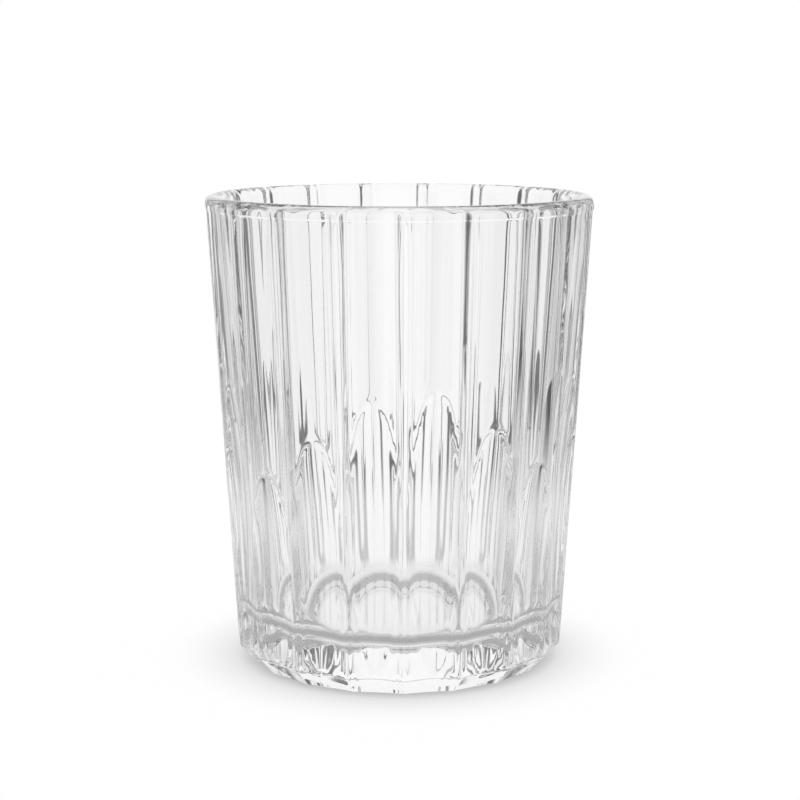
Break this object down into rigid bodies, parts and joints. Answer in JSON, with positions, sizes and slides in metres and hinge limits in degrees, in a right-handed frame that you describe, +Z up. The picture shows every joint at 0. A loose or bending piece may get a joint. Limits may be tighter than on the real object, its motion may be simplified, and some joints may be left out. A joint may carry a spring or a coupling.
{
  "type": "tumbler",
  "caption": "Clear pressed glass tumbler with a rounded lip, fluted tapering wall, pointed hollows round the lower half and a thick base with a faceted bevel.",
  "frame": {"origin": "on the axis of the tumbler, in the plane of the surface it stands on", "axes": "+Z up along the axis, from the base to the lip; -Y towards the rib that faces the viewer"},
  "size_m": [0.0796, 0.0794, 0.096],
  "materials": {
    "glass": "clear fire-polished pressed glass"
  },
  "bodies": {
    "root": {"tumbler": "glass"}
  },
  "joints": []
}
